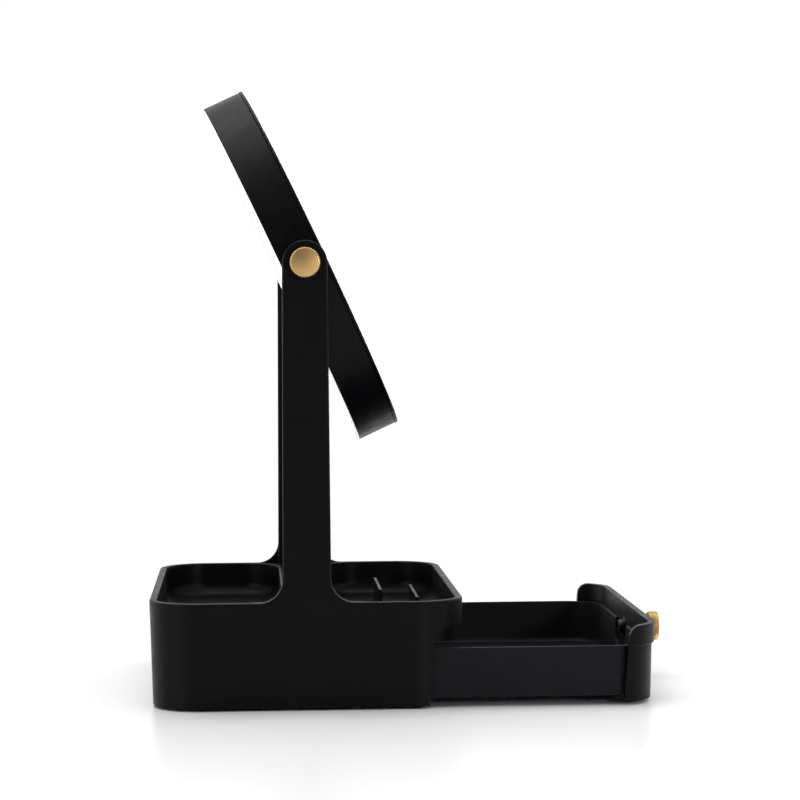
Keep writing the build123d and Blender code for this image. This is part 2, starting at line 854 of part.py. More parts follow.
def make_leds(side):
    """Lamps spaced evenly round a ring board; side is -1 at the front and 1 at the rear."""
    radius = (led_board_inner + led_board_outer) / 2
    level = side * (led_board_level + led_board_thickness + led_height / 2)
    lamp = Pos(radius, level, 0) * Box(led_width, led_height, led_length)
    lamps = [tilted(Rot(Y=360 * step / led_count) * lamp) for step in range(led_count)]
    return Compound(children=lamps)


def make_battery():
    """Flat rechargeable cell on the front of the core plate."""
    low = battery_place - battery_height / 2
    high = battery_place + battery_height / 2
    back = core_plate / 2 + 0.1
    cell = head_box(battery_width, low, high, back + battery_thickness, -back)
    return tilted(fillet(cell.edges().filter_by(Axis.Y), 2.0))


def make_battery_cover():
    """Thin cover that holds the cell down."""
    back = core_plate / 2
    wall = battery_cover_wall
    room = seat_gap
    low = battery_place - battery_height / 2 - room
    high = battery_place + battery_height / 2 + room
    front = back + battery_thickness + room
    inner = head_box(battery_width + 2 * room, low, high, front, far)
    outer = head_box(battery_width + 2 * (room + wall), low - wall, high + wall, front + wall / 2, -back)
    return tilted(outer - inner)


def make_control_board():
    """Charging and dimming board on the back of the core plate."""
    width, height, thickness = board_size
    front = core_plate / 2 + board_standoff
    bottom = board_bottom()
    board = head_box(width, bottom, bottom + height, -front, front + thickness)
    chip = head_box(7, bottom + 14, bottom + 21, -front - thickness + 0.1, front + thickness + 1)
    coil = rod_along_y(3, front + thickness - 0.1, front + thickness + 2.5, 0, bottom + 27)
    return tilted(board + chip + coil)


def make_usb_socket():
    """Charging inlet in the lowest point of the rim."""
    x_size, y_size, length = socket_size
    start = -mirror_radius + 0.2
    shell = Pos(0, 0, start) * extrude(RectangleRounded(x_size, y_size, y_size / 2 - 0.1), amount=length)
    mouth_radius = y_size / 2 - socket_wall - 0.1
    mouth = RectangleRounded(x_size - 2 * socket_wall, y_size - 2 * socket_wall, mouth_radius)
    shell -= Pos(0, 0, start - 1) * extrude(mouth, amount=socket_depth + 1)
    tongue_x, tongue_y, tongue_length = socket_tongue
    tongue_end = start + socket_depth + 0.2
    shell += head_box(tongue_x, tongue_end - tongue_length, tongue_end, tongue_y / 2, tongue_y / 2)
    return tilted(shell)


def make_touch_sensor():
    """Touch pad glued to the back of the front glass."""
    pad = rod_along_y(touch_radius, -glass_back, -glass_back + touch_thickness, z=-touch_place)
    return tilted(pad)


# ---------------------------------------------------------------- pivots
def make_pivot_inserts():
    """Threaded inserts in the rim's bosses."""
    inserts = []
    for side in (-1, 1):
        start, end = sorted((side * (mirror_radius - insert_length), side * mirror_radius))
        sleeve = rod_along_x(insert_radius, start, end, 0)
        sleeve -= rod_along_x(screw_radius + thread_clearance, start - 1, end + 1, 0)
        inserts.append(tilted(sleeve))
    return Compound(children=inserts)


def make_pivot_washer(side):
    """Friction washer between a post and the rim's pad."""
    near = mirror_radius + boss_rise + washer_play
    away = post_inner - washer_play
    start, end = sorted((side * near, side * away))
    washer = rod_along_x(washer_radius, start, end)
    return washer - rod_along_x(stem_radius + running_clearance, start - 1, end + 1)


def stem_start():
    """How far from the middle a pivot knob's stem begins."""
    return mirror_radius + boss_rise + stem_end_gap


def make_pivot_knob(side):
    """Knob whose stem turns in the post's bore."""
    seat = Plane(origin=(side * stem_start(), 0, pivot_height), x_dir=(0, 1, 0), z_dir=(side, 0, 0))
    return seat.location * make_knob()


def make_pivot_screw(side):
    """Stud from the knob's stem into the insert."""
    start, end = sorted((side * (stem_start() - stud_reach), side * (stem_start() + stud_grip)))
    return rod_along_x(screw_radius, start, end)


# ---------------------------------------------------------------- the whole object
def make_all():
    """Every piece by the name of its node."""
    return {
        "base_housing": make_base_housing(),
        "bottom_plate": make_bottom_plate(),
        "bottom_plate_screws": make_plate_screws(),
        "rubber_feet": make_feet(),
        "drawer_front": make_drawer_front(),
        "drawer_box": make_drawer_box(),
        "drawer_knob": make_drawer_knob(),
        "drawer_knob_washer": make_drawer_knob_washer(),
        "drawer_knob_screw": make_drawer_knob_screw(),
        "mirror_rim": make_mirror_rim(),
        "front_bezel": make_front_bezel(),
        "front_diffuser": make_front_diffuser(),
        "rear_diffuser": make_rear_diffuser(),
        "front_glass": make_front_glass(),
        "rear_glass": make_rear_glass(),
        "mirror_core": make_mirror_core(),
        "core_screws": make_core_screws(),
        "front_led_ring": make_front_led_ring(),
        "rear_led_ring": make_rear_led_ring(),
        "front_leds": make_leds(-1),
        "rear_leds": make_leds(1),
        "battery": make_battery(),
        "battery_cover": make_battery_cover(),
        "control_board": make_control_board(),
        "usb_socket": make_usb_socket(),
        "touch_sensor": make_touch_sensor(),
        "pivot_inserts": make_pivot_inserts(),
        "pivot_washer_left": make_pivot_washer(-1),
        "pivot_washer_right": make_pivot_washer(1),
        "pivot_knob_left": make_pivot_knob(-1),
        "pivot_knob_right": make_pivot_knob(1),
        "pivot_screw_left": make_pivot_screw(-1),
        "pivot_screw_right": make_pivot_screw(1),
    }


os.makedirs("parts", exist_ok=True)
for name, shape in make_all().items():
    export_step(shape, f"parts/{name}.step")
    print(name, round(shape.volume, 1))
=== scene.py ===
"""Looks of a round vanity mirror that tilts between two posts on a tray with a drawer.

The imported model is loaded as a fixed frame. Turned and glazed pieces are worked out again
as smooth surfaces, the moulded pieces keep their own shape, and each piece gets a finish.
Lengths are in metres. The drawer opens towards -Y and the photograph is taken from -X.
"""

from __future__ import annotations

import logging
import math
from dataclasses import dataclass
from enum import Enum
from typing import Protocol

import bpy
import numpy as np
from mathutils import Matrix, Vector

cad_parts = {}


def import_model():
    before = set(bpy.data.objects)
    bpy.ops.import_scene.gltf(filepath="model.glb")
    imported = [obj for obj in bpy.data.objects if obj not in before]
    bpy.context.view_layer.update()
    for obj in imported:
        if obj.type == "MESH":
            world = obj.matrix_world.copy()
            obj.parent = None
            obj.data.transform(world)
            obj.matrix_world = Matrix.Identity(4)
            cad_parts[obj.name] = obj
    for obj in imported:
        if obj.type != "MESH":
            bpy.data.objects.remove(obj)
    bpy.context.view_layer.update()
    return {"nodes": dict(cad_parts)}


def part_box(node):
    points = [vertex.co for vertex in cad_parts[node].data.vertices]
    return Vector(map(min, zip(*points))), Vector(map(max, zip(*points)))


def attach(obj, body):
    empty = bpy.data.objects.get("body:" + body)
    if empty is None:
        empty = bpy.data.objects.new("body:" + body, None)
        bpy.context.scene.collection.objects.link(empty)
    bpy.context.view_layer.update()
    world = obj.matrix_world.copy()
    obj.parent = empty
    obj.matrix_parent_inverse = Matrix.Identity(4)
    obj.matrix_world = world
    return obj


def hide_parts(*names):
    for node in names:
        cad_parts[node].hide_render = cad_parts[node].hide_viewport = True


LOG = logging.getLogger("vanity_mirror")
MM = 0.001
STEEP = 0.9  # an axis with more Z than this is nearly upright

Colour = tuple[float, float, float]
Point = tuple[float, float, float]


class Side(Enum):
    """Which way a double piece faces or sits."""

    FRONT = 1
    REAR = -1


# ---------------------------------------------------------------- surfaces
@dataclass(frozen=True)
class Axle:
    """A line that pieces are turned about.

    Attributes:
        origin: Where the axial distance is zero.
        along: Unit vector of the axis.
    """

    origin: np.ndarray
    along: np.ndarray

    def cross_axes(self) -> tuple[np.ndarray, np.ndarray]:
        """Two unit vectors that make a right-handed frame with the axis.

        Returns:
            The direction of angle zero, and that of a quarter turn.
        """
        upright, sideways = np.array((0.0, 0.0, 1.0)), np.array((1.0, 0.0, 0.0))
        helper = upright if abs(self.along[2]) < STEEP else sideways
        start = np.cross(helper, self.along)
        start /= np.linalg.norm(start)
        return start, np.cross(self.along, start)

    def turn(self, axial: np.ndarray, radius: np.ndarray, steps: int) -> np.ndarray:
        """Carries a profile round the axis.

        Point = origin + axial * along + radius * (cos(angle) * start + sin(angle) * quarter).

        Args:
            axial: Distance along the axis for each profile point.
            radius: Distance from the axis, one value per profile point, or per point and step.
            steps: Number of steps in a full turn.

        Returns:
            Array of shape (profile points, steps, 3).
        """
        start, quarter = self.cross_axes()
        angle = np.linspace(0.0, 2.0 * math.pi, steps, endpoint=False)
        ring = np.cos(angle)[:, None] * start + np.sin(angle)[:, None] * quarter
        reach = radius if radius.ndim == 2 else np.repeat(radius[:, None], steps, axis=1)
        out = reach[:, :, None] * ring[None]
        return self.origin + axial[:, None, None] * self.along + out


def arc(
    centre: tuple[float, float], radius: float, start: float, end: float, count: int
) -> np.ndarray:
    """Points of a circular arc in the profile plane.

    Point = centre + radius * (cos(angle), sin(angle)), for an even run of angles.

    Args:
        centre: Axial distance and radius of the arc's centre.
        radius: Radius of the arc.
        start: First angle in degrees, from the axial direction towards larger radii.
        end: Last angle in degrees.
        count: Number of points.

    Returns:
        Array of shape (count, 2) with axial distance and radius.
    """
    angle = np.radians(np.linspace(start, end, count))
    return np.array(centre) + radius * np.stack((np.cos(angle), np.sin(angle)), axis=1)


def dished(top: float, reach: float, sag: float, count: int) -> np.ndarray:
    """Points of a shallow dome, from its rim to the axis.

    Axial distance = top - sag * (radius / reach) squared.

    Args:
        top: Axial distance of the pole.
        reach: Radius of the rim.
        sag: How far the rim lies below the pole, or above it when negative.
        count: Number of points.

    Returns:
        Array of shape (count, 2) with axial distance and radius.
    """
    radius = np.linspace(reach, 0.0, count)
    return np.stack((top - sag * (radius / reach) ** 2, radius), axis=1)


def finer(profile: np.ndarray, step: float) -> np.ndarray:
    """Adds points to the straight runs of a profile, so that none is longer than the step.

    Args:
        profile: Array of shape (points, 2).
        step: Longest run to leave.

    Returns:
        The profile with its runs divided evenly.
    """
    runs = np.linalg.norm(np.diff(profile, axis=0), axis=1)
    counts = np.maximum(1, np.ceil(runs / step)).astype(int)
    parts = [
        a + (b - a) * np.linspace(0.0, 1.0, n, endpoint=False)[:, None]
        for a, b, n in zip(profile[:-1], profile[1:], counts)
    ]
    return np.concatenate([*parts, profile[-1:]])


def cell_maps(grid: np.ndarray, ring: bool) -> np.ndarray:
    """UV corners of the cells of a turned grid.

    U = share of a turn, V = length along the profile in millimetres.

    Args:
        grid: Array of shape (rows, steps, 3).
        ring: True when the last row joins the first.

    Returns:
        Array of shape (rows of cells, steps, 4 corners, 2).
    """
    steps = grid.shape[1]
    runs = np.linalg.norm(np.diff(grid[:, 0], axis=0), axis=1)
    lengths = np.concatenate(((0.0,), np.cumsum(runs))) / MM
    low, high = lengths[:-1], lengths[1:]
    if ring:
        closing = np.linalg.norm(grid[0, 0] - grid[-1, 0]) / MM
        low, high = lengths, np.append(high, lengths[-1] + closing)
    left = np.arange(steps) / steps
    right = left + 1.0 / steps
    corners = ((left, low), (right, low), (right, high), (left, high))
    maps = [np.stack(np.broadcast_arrays(u[None], v[:, None]), axis=2) for u, v in corners]
    return np.stack(maps, axis=2)


def grid_mesh(name: str, grid: np.ndarray, ring: bool) -> bpy.types.Mesh:
    """Mesh of a turned grid, closed round the axis and either into a ring or at its two poles.

    The quad at row i and step j joins (i, j), (i, j+1), (i+1, j+1), (i+1, j), which faces away
    from the axis where the profile runs along it. A row at a pole is one point, and its quads
    are triangles.

    Args:
        name: Name of the mesh.
        grid: Array of shape (rows, steps, 3).
        ring: True when the last row joins the first, False when the end rows are poles.

    Returns:
        The mesh, smooth, with a UV map of turns and profile length in millimetres.
    """
    rows, steps = grid.shape[:2]
    index = np.arange(rows * steps).reshape(rows, steps)
    points = grid.reshape(-1, 3)
    lower, upper = index, np.roll(index, -1, axis=0)
    if not ring:
        index = index - (steps - 1)
        index[0] = 0
        index[-1] = index[-2].max() + 1
        points = np.concatenate((grid[:1, 0], grid[1:-1].reshape(-1, 3), grid[-1:, 0]))
        lower, upper = index[:-1], index[1:]
    quads = np.stack((lower, np.roll(lower, -1, 1), np.roll(upper, -1, 1), upper), axis=2)
    kept = [[0, 1, 2, 3]] * len(lower)
    if not ring:
        kept[0], kept[-1] = [0, 2, 3], [0, 1, 2]
    loops = np.concatenate([row[:, keep].ravel() for row, keep in zip(quads, kept)])
    maps = [row[:, keep].reshape(-1, 2) for row, keep in zip(cell_maps(grid, ring), kept)]
    totals = np.repeat([len(keep) for keep in kept], steps)
    starts = np.concatenate(((0,), np.cumsum(totals)[:-1]))
    mesh = bpy.data.meshes.new(name)
    mesh.vertices.add(len(points))
    mesh.vertices.foreach_set("co", points.astype(np.float32).ravel())
    mesh.loops.add(len(loops))
    mesh.loops.foreach_set("vertex_index", loops.astype(np.int32))
    mesh.polygons.add(len(totals))
    mesh.polygons.foreach_set("loop_start", starts.astype(np.int32))
    mesh.polygons.foreach_set("use_smooth", np.ones(len(totals), bool))
    layer = mesh.uv_layers.new(name="turned")
    layer.data.foreach_set("uv", np.concatenate(maps).astype(np.float32).ravel())
    mesh.update(calc_edges=True)
    mesh.validate()
    return mesh


def new_piece(
    mesh: bpy.types.Mesh, material: bpy.types.Material, crease: float
) -> bpy.types.Object:
    """Object for a mesh, with its material and its sharp edges kept sharp.

    Args:
        mesh: The finished mesh, in place.
        material: Its finish.
        crease: Angle in degrees above which an edge stays sharp.

    Returns:
        The object, linked to the scene.
    """
    mesh.materials.append(material)
    piece = bpy.data.objects.new(mesh.name, mesh)
    bpy.context.scene.collection.objects.link(piece)
    split = piece.modifiers.new("crease", "EDGE_SPLIT")
    split.split_angle = math.radians(crease)
    return piece


# ---------------------------------------------------------------- finishes
class NodeDesk:
    """A material's node tree with short calls for what the finishes need.

    Attributes:
        noise_range: The part of a noise pattern's values that is spread over a range.
        blend_range: Noise values between which two colours fade into each other.
    """

    noise_range = (0.3, 0.7)
    blend_range = (0.35, 0.65)

    def __init__(self, name: str) -> None:
        """Starts a material with a Principled shader.

        Args:
            name: Name of the material.
        """
        self.material = bpy.data.materials.new(name)
        self.material.use_nodes = True
        self.tree = self.material.node_tree
        self.shader = self.tree.nodes["Principled BSDF"]

    def add(self, kind: str, **values: object) -> bpy.types.Node:
        """Adds a node and sets its properties.

        Args:
            kind: Blender's name of the node type.
            values: Properties of the node.

        Returns:
            The node.
        """
        node = self.tree.nodes.new(kind)
        for key, value in values.items():
            setattr(node, key, value)
        return node

    def link(self, source: bpy.types.NodeSocket, target: bpy.types.NodeSocket) -> None:
        """Joins two sockets."""
        self.tree.links.new(source, target)

    def place(self, scale: Point = (1.0, 1.0, 1.0), uv: bool = False) -> bpy.types.NodeSocket:
        """Coordinates to lay a pattern out in, stretched by the scale.

        Args:
            scale: Factor along each axis.
            uv: True for the piece's own UV map, False for object coordinates.

        Returns:
            The vector socket.
        """
        coordinates = self.add("ShaderNodeTexCoord")
        mapping = self.add("ShaderNodeMapping")
        mapping.inputs["Scale"].default_value = scale
        self.link(coordinates.outputs["UV" if uv else "Object"], mapping.inputs["Vector"])
        return mapping.outputs["Vector"]

    def noise(
        self, vector: bpy.types.NodeSocket, scale: float, detail: float
    ) -> bpy.types.NodeSocket:
        """Noise pattern.

        Args:
            vector: Coordinates.
            scale: Repeats per unit of the coordinates.
            detail: Octaves of finer noise.

        Returns:
            The value socket, from 0 to 1.
        """
        node = self.add("ShaderNodeTexNoise")
        node.inputs["Scale"].default_value = scale
        node.inputs["Detail"].default_value = detail
        self.link(vector, node.inputs["Vector"])
        return node.outputs["Fac"]

    def ranged(
        self, value: bpy.types.NodeSocket, low: float, high: float
    ) -> bpy.types.NodeSocket:
        """Spreads the middle of a noise pattern over a range.

        Args:
            value: Noise value.
            low: Result where the noise is low.
            high: Result where the noise is high.

        Returns:
            The value socket.
        """
        node = self.add("ShaderNodeMapRange")
        names = ("From Min", "From Max", "To Min", "To Max")
        for name, limit in zip(names, (*self.noise_range, low, high)):
            node.inputs[name].default_value = limit
        self.link(value, node.inputs["Value"])
        return node.outputs["Result"]

    def colour(self, value: bpy.types.NodeSocket, first: Colour, second: Colour) -> None:
        """Colours the surface between two colours by a noise pattern.

        Args:
            value: Noise value.
            first: Colour where the noise is low.
            second: Colour where the noise is high.
        """
        ramp = self.add("ShaderNodeValToRGB")
        ends = zip(ramp.color_ramp.elements, self.blend_range, (first, second))
        for element, position, colour in ends:
            element.position = position
            element.color = (*colour, 1.0)
        self.link(value, ramp.inputs["Fac"])
        self.link(ramp.outputs["Color"], self.shader.inputs["Base Color"])

    def roughness(
        self, value: bpy.types.NodeSocket, middle: float, spread: tuple[float, float]
    ) -> None:
        """Varies the surface's roughness by a noise pattern.

        Args:
            value: Noise value.
            middle: Middle roughness.
            spread: What is added to it where the noise is low, and where it is high.
        """
        varied = self.ranged(value, middle + spread[0], middle + spread[1])
        self.link(varied, self.shader.inputs["Roughness"])

    def bump(self, height: bpy.types.NodeSocket, strength: float, distance: float) -> None:
        """Presses a pattern into the surface.

        Args:
            height: Pattern from 0 to 1.
            strength: Share of the effect.
            distance: Depth in metres.
        """
        node = self.add("ShaderNodeBump")
        node.inputs["Strength"].default_value = strength
        node.inputs["Distance"].default_value = distance
        previous = self.shader.inputs["Normal"]
        if previous.links:
            self.link(previous.links[0].from_socket, node.inputs["Normal"])
        self.link(height, node.inputs["Height"])
        self.link(node.outputs["Normal"], previous)

    def fixed(self, **values: float) -> None:
        """Sets plain numbers on the shader's own sockets, by names with underscores for spaces."""
        for key, value in values.items():
            self.shader.inputs[key.replace("_", " ")].default_value = value


class Finish(Protocol):
    """Anything that makes a material."""

    def build(self) -> bpy.types.Material:
        """Makes the material."""


@dataclass(frozen=True)
class MouldedPlastic:
    """Plastic from a spark-eroded mould: a fine even grain, faint mottling and slight waviness.

    Attributes:
        name: Name of the finish.
        colour: Darker colour of the mottling.
        lighter: Lighter colour of the mottling.
        roughness: Middle roughness.
        specular: Strength of the surface reflection.
        grain: Depth of the mould's grain in metres.
        mottle_scale: Mottles per metre.
        rub_scale: Rubbed spots per metre.
        grain_scale: Grains per metre.
        wave_scale: Waves per metre.
        wave_depth: Depth of the waves in metres.
        spread: What the noise adds to the roughness at its lowest and highest.
    """

    name: str
    colour: Colour
    lighter: Colour
    roughness: float = 0.42
    specular: float = 0.2
    grain: float = 0.00003
    mottle_scale: float = 38.0
    rub_scale: float = 120.0
    grain_scale: float = 2600.0
    wave_scale: float = 22.0
    wave_depth: float = 0.0002
    spread: tuple[float, float] = (-0.05, 0.06)

    def build(self) -> bpy.types.Material:
        """Makes the material."""
        desk = NodeDesk(self.name)
        place = desk.place()
        desk.colour(desk.noise(place, self.mottle_scale, detail=3.0), self.colour, self.lighter)
        rubbed = desk.noise(place, self.rub_scale, detail=4.0)
        desk.roughness(rubbed, self.roughness, self.spread)
        grains = desk.noise(place, self.grain_scale, detail=2.0)
        desk.bump(grains, strength=0.35, distance=self.grain)
        waves = desk.noise(place, self.wave_scale, detail=1.0)
        desk.bump(waves, strength=0.2, distance=self.wave_depth)
        desk.fixed(Specular_IOR_Level=self.specular, IOR=1.5)
        return desk.material


@dataclass(frozen=True)
class TurnedMetal:
    """Metal from a lathe: fine rings that follow the turning, and a satin sheen.

    Attributes:
        name: Name of the finish.
        colour: Darker metal colour.
        lighter: Lighter metal colour.
        roughness: Middle roughness.
        ring_depth: Depth of the turned rings in metres.
        ring_scale: Marks per turn, and rings per millimetre of the profile.
        cloud_scale: Clouds per metre.
        spread: What the noise adds to the roughness at its lowest and highest.
    """

    name: str
    colour: Colour
    lighter: Colour
    roughness: float = 0.33
    ring_depth: float = 0.00001
    ring_scale: Point = (1.5, 9.0, 1.0)
    cloud_scale: float = 260.0
    spread: tuple[float, float] = (-0.06, 0.08)

    def build(self) -> bpy.types.Material:
        """Makes the material."""
        desk = NodeDesk(self.name)
        rings = desk.noise(desk.place(self.ring_scale, uv=True), 1.0, detail=4.0)
        cloud = desk.noise(desk.place(), self.cloud_scale, detail=2.0)
        desk.colour(cloud, self.colour, self.lighter)
        desk.roughness(rings, self.roughness, self.spread)
        desk.bump(rings, strength=0.5, distance=self.ring_depth)
        desk.fixed(Metallic=1.0)
        return desk.material


@dataclass(frozen=True)
class PlainMetal:
    """Plated or drawn metal with a cloudy surface.

    Attributes:
        name: Name of the finish.
        colour: Darker metal colour.
        lighter: Lighter metal colour.
        roughness: Middle roughness.
        cloud_scale: Clouds per metre.
        grain_scale: Grains per metre.
        grain: Depth of the grain in metres.
        spread: What the noise adds to the roughness at its lowest and highest.
    """

    name: str
    colour: Colour
    lighter: Colour
    roughness: float = 0.3
    cloud_scale: float = 400.0
    grain_scale: float = 3000.0
    grain: float = 0.00001
    spread: tuple[float, float] = (-0.06, 0.08)

    def build(self) -> bpy.types.Material:
        """Makes the material."""
        desk = NodeDesk(self.name)
        place = desk.place()
        cloud = desk.noise(place, self.cloud_scale, detail=3.0)
        desk.colour(cloud, self.colour, self.lighter)
        desk.roughness(cloud, self.roughness, self.spread)
        grains = desk.noise(place, self.grain_scale, detail=2.0)
        desk.bump(grains, strength=0.25, distance=self.grain)
        desk.fixed(Metallic=1.0)
        return desk.material


@dataclass(frozen=True)
class SilveredGlass:
    """Silvered glass: a clear bright mirror with barely visible wiping haze.

    Attributes:
        name: Name of the finish.
        colour: Tint of the silver.
        lighter: Tint where it is clearest.
        haze_stretch: Stretch of the haze along each axis.
        haze_scale: Wisps of haze per metre.
        roughness: Roughness where the glass is clearest.
        spread: What the noise adds to the roughness at its lowest and highest.
    """

    name: str
    colour: Colour = (0.87, 0.885, 0.89)
    lighter: Colour = (0.9, 0.91, 0.915)
    haze_stretch: Point = (1.0, 1.0, 3.0)
    haze_scale: float = 30.0
    roughness: float = 0.012
    spread: tuple[float, float] = (0.0, 0.018)

    def build(self) -> bpy.types.Material:
        """Makes the material."""
        desk = NodeDesk(self.name)
        haze = desk.noise(desk.place(self.haze_stretch), self.haze_scale, detail=3.0)
        desk.colour(haze, self.colour, self.lighter)
        desk.roughness(haze, self.roughness, self.spread)
        desk.fixed(Metallic=1.0)
        return desk.material


@dataclass(frozen=True)
class FrostedDiffuser:
    """Milky plastic over lamps: soft inside, finely frosted outside, with an even glow.

    Attributes:
        name: Name of the finish.
        colour: Darker colour of the plastic.
        lighter: Lighter colour of the plastic.
        light: Colour of the light that comes out of it.
        glow: Strength of that light.
        depth: How far red, green and blue light spread inside, in metres.
        softness: Share of the light that spreads inside.
        roughness: Middle roughness.
        cloud_scale: Clouds per metre.
        frost_scale: Grains of frost per metre.
        frost: Depth of the frost in metres.
        spread: What the noise adds to the roughness at its lowest and highest.
    """

    name: str
    colour: Colour = (0.9, 0.9, 0.89)
    lighter: Colour = (0.95, 0.95, 0.94)
    light: Colour = (1.0, 0.995, 0.98)
    glow: float = 0.55
    depth: Point = (0.004, 0.004, 0.0035)
    softness: float = 0.15
    roughness: float = 0.39
    cloud_scale: float = 60.0
    frost_scale: float = 4200.0
    frost: float = 0.00002
    spread: tuple[float, float] = (-0.05, 0.05)

    def build(self) -> bpy.types.Material:
        """Makes the material."""
        desk = NodeDesk(self.name)
        place = desk.place()
        cloud = desk.noise(place, self.cloud_scale, detail=2.0)
        desk.colour(cloud, self.colour, self.lighter)
        desk.roughness(cloud, self.roughness, self.spread)
        grains = desk.noise(place, self.frost_scale, detail=1.0)
        desk.bump(grains, strength=0.2, distance=self.frost)
        desk.shader.inputs["Emission Color"].default_value = (*self.light, 1.0)
        desk.shader.inputs["Subsurface Radius"].default_value = self.depth
        desk.fixed(Emission_Strength=self.glow)
        desk.fixed(Subsurface_Weight=self.softness, Subsurface_Scale=1.0)
        return desk.material


@dataclass(frozen=True)
class GlossyFloor:
    """Pale glossy sheet under the object, with a soft reflection, that fades into white far away.

    Attributes:
        name: Name of the finish.
        colour: Colour of the sheet.
        roughness: Middle roughness of its gloss.
        cloud_scale: Clouds in the gloss per metre.
        near: Distance from the object where the sheet begins to fade, in metres.
        far: Distance where it has become plain white.
        spread: What the noise adds to the roughness at its lowest and highest.
    """

    name: str
    colour: Colour = (0.86, 0.86, 0.86)
    roughness: float = 0.3
    cloud_scale: float = 3.0
    near: float = 0.3
    far: float = 0.9
    spread: tuple[float, float] = (-0.01, 0.01)

    def build(self) -> bpy.types.Material:
        """Makes the material."""
        desk = NodeDesk(self.name)
        place = desk.place()
        cloud = desk.noise(place, self.cloud_scale, detail=1.0)
        desk.shader.inputs["Base Color"].default_value = (*self.colour, 1.0)
        desk.roughness(cloud, self.roughness, self.spread)
        desk.fixed(Specular_IOR_Level=0.5)
        distance = desk.add("ShaderNodeVectorMath", operation="LENGTH")
        desk.link(place, distance.inputs[0])
        fade = desk.add("ShaderNodeMapRange", interpolation_type="SMOOTHSTEP")
        fade.inputs["From Min"].default_value = self.near
        fade.inputs["From Max"].default_value = self.far
        desk.link(distance.outputs["Value"], fade.inputs["Value"])
        white = desk.add("ShaderNodeEmission")
        white.inputs["Color"].default_value = (1.0, 1.0, 1.0, 1.0)
        mix = desk.add("ShaderNodeMixShader")
        surface = desk.tree.nodes["Material Output"].inputs["Surface"]
        desk.link(fade.outputs["Result"], mix.inputs["Fac"])
        desk.link(desk.shader.outputs["BSDF"], mix.inputs[1])
        desk.link(white.outputs["Emission"], mix.inputs[2])
        desk.link(mix.outputs["Shader"], surface)
        return desk.material


BODY_BLACK = MouldedPlastic(
    "body_black_satin", (0.0014, 0.0014, 0.0021), (0.002, 0.002, 0.0029), 0.38, 0.09
)
TRAY_GREY = MouldedPlastic(
    "drawer_grey_satin", (0.0058, 0.0055, 0.0074), (0.0074, 0.0071, 0.0094), 0.46, 0.1
)
NYLON = MouldedPlastic("washer_nylon", (0.02, 0.02, 0.022), (0.03, 0.03, 0.032), 0.5, 0.3)
RUBBER = MouldedPlastic(
    "foot_rubber", (0.012, 0.012, 0.013), (0.02, 0.02, 0.021), 0.8, 0.2, 0.00005
)
WHITE_PLASTIC = MouldedPlastic("core_white_plastic", (0.74, 0.74, 0.72), (0.8, 0.8, 0.78), 0.5, 0.4)
BOARD_WHITE = MouldedPlastic(
    "board_white_mask", (0.7, 0.71, 0.69), (0.78, 0.79, 0.77), 0.3, 0.5, 0.00001
)
BOARD_GREEN = MouldedPlastic(
    "board_green_mask", (0.01, 0.1, 0.035), (0.014, 0.13, 0.045), 0.3, 0.5, 0.00001
)
LAMP = MouldedPlastic("lamp_phosphor", (0.75, 0.55, 0.12), (0.8, 0.62, 0.16), 0.35, 0.5, 0.00001)
BRASS = TurnedMetal("knob_turned_brass", (0.56, 0.37, 0.155), (0.6, 0.4, 0.175))
INSERT_BRASS = PlainMetal("insert_brass", (0.58, 0.42, 0.19), (0.62, 0.46, 0.22), 0.35)
DARK_STEEL = PlainMetal("blackened_steel", (0.035, 0.035, 0.036), (0.05, 0.05, 0.052), 0.42)
STEEL = PlainMetal("zinc_steel", (0.5, 0.5, 0.51), (0.58, 0.58, 0.59), 0.32)
NICKEL = PlainMetal("inlet_nickel", (0.6, 0.6, 0.61), (0.68, 0.68, 0.69), 0.22)
FOIL = PlainMetal("cell_foil", (0.55, 0.56, 0.58), (0.62, 0.63, 0.65), 0.4)
LIGHT_RING = FrostedDiffuser("light_ring_frosted")
SILVERED = SilveredGlass("silvered")
FLOOR_PALE = GlossyFloor("floor_pale")

NODE_FINISHES: dict[str, tuple[Finish, str]] = {
    "base_housing": (BODY_BLACK, "body_black"),
    "bottom_plate": (BODY_BLACK, "body_black"),
    "bottom_plate_screws": (STEEL, "steel"),
    "rubber_feet": (RUBBER, "foot_rubber"),
    "drawer_front": (BODY_BLACK, "body_black"),
    "drawer_box": (TRAY_GREY, "drawer_grey"),
    "drawer_knob_washer": (DARK_STEEL, "steel"),
    "drawer_knob_screw": (DARK_STEEL, "steel"),
    "mirror_rim": (BODY_BLACK, "body_black"),
    "front_bezel": (BODY_BLACK, "body_black"),
    "mirror_core": (WHITE_PLASTIC, "core_white"),
    "core_screws": (STEEL, "steel"),
    "front_led_ring": (BOARD_WHITE, "board_white"),
    "rear_led_ring": (BOARD_WHITE, "board_white"),
    "front_leds": (LAMP, "lamp_yellow"),
    "rear_leds": (LAMP, "lamp_yellow"),
    "battery": (FOIL, "cell_silver"),
    "battery_cover": (WHITE_PLASTIC, "core_white"),
    "control_board": (BOARD_GREEN, "board_green"),
    "usb_socket": (NICKEL, "inlet_steel"),
    "touch_sensor": (INSERT_BRASS, "insert_brass"),
    "pivot_inserts": (INSERT_BRASS, "insert_brass"),
    "pivot_washer_left": (NYLON, "washer_nylon"),
    "pivot_washer_right": (NYLON, "washer_nylon"),
    "pivot_screw_left": (STEEL, "steel"),
    "pivot_screw_right": (STEEL, "steel"),
}


class Workshop:
    """Keeps each finish's material, so that pieces with one finish share it."""

    def __init__(self) -> None:
        """Starts with no materials."""
        self.made: dict[str, bpy.types.Material] = {}

    def material(self, finish: Finish) -> bpy.types.Material:
        """Material of a finish, made on its first use.

        Args:
            finish: The finish.

        Returns:
            The material.
        """
        if finish.name not in self.made:
            self.made[finish.name] = finish.build()
            LOG.info("finish %s", finish.name)
        return self.made[finish.name]


